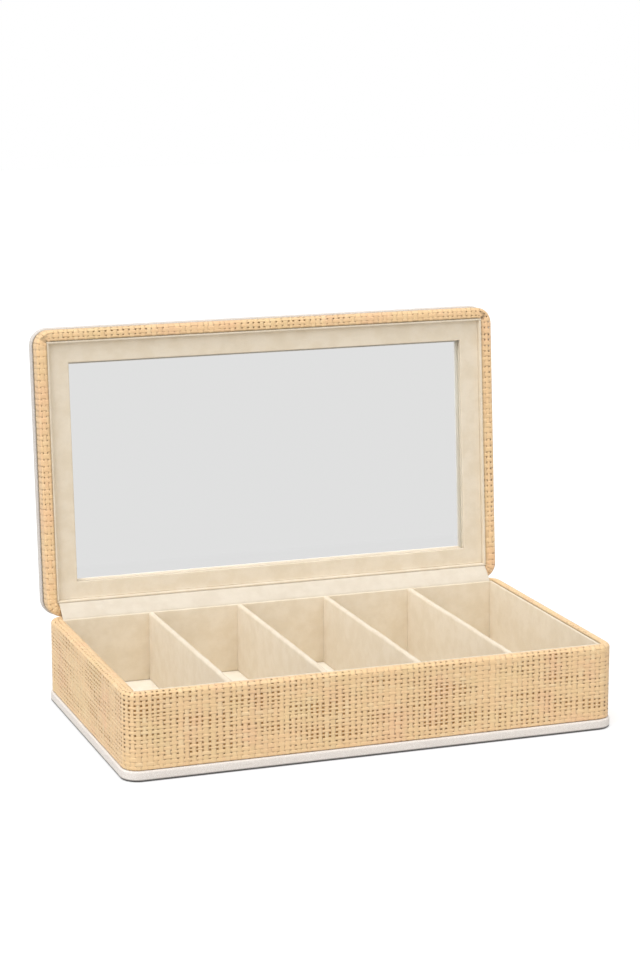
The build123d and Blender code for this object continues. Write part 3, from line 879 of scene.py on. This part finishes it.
def mirror_plate():
    """The silvered face, a little less deep than the glass is thick, as glass makes it look, and
    the ground band along its edge that shows beside the frame: painted shade on the front and left,
    where the frame's edge is shaded, and a painted reflection of the frame along the rear."""
    gap, thickness = 0.25, 0.5
    x = np.linspace(-inside_x + gap, inside_x - gap, 9)[:, None]
    y = np.linspace(inside_front + gap, inside_rear - gap, 7)[None, :]
    x, y = x + 0 * y, y + 0 * x
    middle = np.stack([x, y, 0 * x + silver - thickness / 2], -1)
    points, quads = thick(middle, thickness)
    piece("mirror_plate", on_lid(points), quads, "lid", mirror, ["mirror_glass"],
          smooth=False)
    width = np.array([0.6, 2.6, 1.2, 1.3])  # at the left, right, front and rear
    outer = 0.6 + 0 * width
    rings = []
    for reach, z in ((outer, 0.02), (0.4 - width, 0.30), (0.1 - width, 0.25), (-width, 0.02)):
        x0, x1, y0, y1 = window + np.array([-1, 1, -1, 1]) * reach
        rings.append([(u, v, silver + z) for u, v in ((x0, y0), (x1, y0), (x1, y1), (x0, y1))])
    points = np.array(rings).transpose(1, 0, 2).reshape(-1, 3)
    quads = grid_quads(4, 4, wrap_rows=True, wrap_columns=True)
    band = piece("mirror_band", on_lid(points), quads, "lid", mirror_rim, ["mirror_glass"],
                 smooth=False)
    # painted shade on the band's front and left, a painted reflection of the frame's suede on its
    # rear, the plain ground band on the right
    band.data.materials.append(mirror_shade)
    band.data.materials.append(mirror_painted_reflection)
    finishes = np.repeat([1, 0, 2, 1], 4).astype(np.int32)  # front, right, rear and left
    band.data.polygons.foreach_set("material_index", finishes)


def hinge_strip():
    """Suede strip from behind the rear lining across to the lid, drawn tight, with faint creases
    at its ends."""
    tuck_y = liner_rear + suede / 2
    half_length, case_tuck, lid_tuck, sag = 160.4, 10.8, 8.0, 0.35

    def swung(drop):
        return on_lid(np.array([0.0, tuck_y, -drop]))[1:] * 1000

    low, lip = (np.array([tuck_y, case_rim_z - drop]) for drop in (case_tuck, lip_drop))
    lid_lip, lid_end = swung(lip_drop), swung(lid_tuck)
    stops = [low, lip, lid_lip, lid_end]
    below, between, beyond = 5, 18, 6
    path = [a + (b - a) * np.linspace(0, 1, n, endpoint=False)[:, None]
            for a, b, n in zip(stops, stops[1:], (below, between, beyond))]
    path = np.concatenate(path + [[lid_end]])
    softened = path.copy()
    softened[1:-1] = (path[:-2] + 2 * path[1:-1] + path[2:]) / 4
    x = spaced(-half_length, half_length, 3.0, 0.4)[:, None]
    y, z = softened[None, :, 0] + 0 * x, softened[None, :, 1] + 0 * x
    x = x + 0 * y
    run = np.clip((np.arange(len(path)) - below) / between, 0, 1)[None, :]
    slack = np.sin(pi * run)
    ends = np.exp(-(half_length - np.abs(x)) / 9.0)
    swell = ripple(np.stack([x, 0 * x, 6 * run + 0 * x], -1), 57, 60.0, 0.12)
    out = slack * (0.10 * np.sin(x / 1.4) * ends + swell) - sag * slack
    out_y, out_z = 0.68, -0.73
    points, quads = thick(np.stack([x, y + out_y * out, z + out_z * out], -1), suede_drawn)
    # the strip's suede is painted darker, as shade
    made = piece("hinge_strip", points / 1000, quads, None, suede_painted_shade_strip, ["hinge_lining"])
    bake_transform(made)


build_weave("case", Rim(wall=case_wall, reach=7.4, roll=1.0, puff=0.45, swell=0.0, drawn=0.5,
                        folded=0, over=1.4, left_open=1.0), 11)
build_weave("lid", Rim(wall=lid_wall, reach=7.9, roll=0.8, puff=0.15, swell=0.7, drawn=0.3,
                       folded=1, over=0.0, left_open=0.6), 23)
panel("case", "base_cover", "base_leatherette", base_thickness, case_wall)
panel("lid", "lid_cover", "lid_panel_leatherette", lid_thickness, lid_wall)
for i, side in enumerate(("front", "rear", "left", "right")):
    liner("case", side, floor_top + 0.02, 100 + 7 * i)
    liner("lid", side, -lid_wall + 0.1, 150 + 7 * i)
for i, centre in enumerate(divider_xs, start=1):
    divider(i, centre, 200 + 9 * i)
floor_cover()
mirror_frame()
mirror_plate()
hinge_strip()


# ---- Camera, floor and light ----

camera = bpy.data.objects.new("camera", bpy.data.cameras.new("camera"))
bpy.context.scene.collection.objects.link(camera)
azimuth, elevation = -19.8512, 12.0966
camera.location = (-0.57603, -1.58404, 0.52352)
camera.rotation_euler = (radians(90 - elevation), 0, radians(azimuth))
camera.data.sensor_width, camera.data.lens = 36.0, 96.40
bpy.context.scene.camera = camera


def seen_directly(tree, camera=1.0, reflected=1.0):
    """One value for what the camera sees, one for what a reflection or glass shows, else 0."""
    path = tree.nodes.new("ShaderNodeLightPath")
    direct, glossy, through = (Value(tree, path.outputs[f"Is {kind} Ray"])
                               for kind in ("Camera", "Glossy", "Transmission"))
    total = direct * camera + (glossy + through) * reflected
    return total.step("MINIMUM", total, 1.0)


def light_world(strength):
    """Even soft light from all round; white where it is seen directly."""
    world = bpy.data.worlds.new("studio")
    bpy.context.scene.world = world
    world.use_nodes = True
    tree = world.node_tree
    tree.nodes.clear()
    soft, white = (tree.nodes.new("ShaderNodeBackground") for _ in range(2))
    soft.inputs["Strength"].default_value = strength
    for light in (soft, white):
        light.inputs["Color"].default_value = (1, 1, 1, 1)
    mix, out = tree.nodes.new("ShaderNodeMixShader"), tree.nodes.new("ShaderNodeOutputWorld")
    tree.links.new(seen_directly(tree).socket, mix.inputs[0])
    tree.links.new(soft.outputs[0], mix.inputs[1])
    tree.links.new(white.outputs[0], mix.inputs[2])
    tree.links.new(mix.outputs[0], out.inputs[0])


def lay_floor():
    """Plain pale floor: part diffuse, which keeps the shadow, and part white of its own where it
    is seen."""
    mesh = bpy.data.meshes.new("floor")
    side, front, rear, z = 3, -0.9, 4, -0.0002
    corners = [(-side, front, z), (side, front, z), (side, rear, z), (-side, rear, z)]
    mesh.from_pydata(corners, [], [(0, 1, 2, 3)])
    made = Finish("floor", roughness=1.0, specular_ior_level=0.0, base_color=(0.55, 0.55, 0.55, 1))
    made.shader.inputs["Emission Color"].default_value = (1, 1, 1, 1)
    made.feed("Emission Strength", seen_directly(made.tree, camera=0.50, reflected=0.31))
    mesh.materials.append(made.material)
    floor = bpy.data.objects.new("floor", mesh)
    bpy.context.scene.collection.objects.link(floor)


def lamp(name, energy, towards, width):
    """Wide soft sun that shines along a direction; its width is in degrees."""
    data = bpy.data.lights.new(name, "SUN")
    data.energy, data.angle = energy, radians(width)
    made = bpy.data.objects.new(name, data)
    bpy.context.scene.collection.objects.link(made)
    made.rotation_euler = Vector(towards).to_track_quat("-Z", "Y").to_euler()


light_world(0.68)
lay_floor()
lamp("key", 1.15, (0.25, 0.18, -1.30), 35)
lamp("side", 0.78, (0.9, 0.5, -0.5), 50)
lamp("front", 0.40, (-0.1, 0.75, -0.7), 50)
bpy.context.scene.view_settings.view_transform = "Standard"
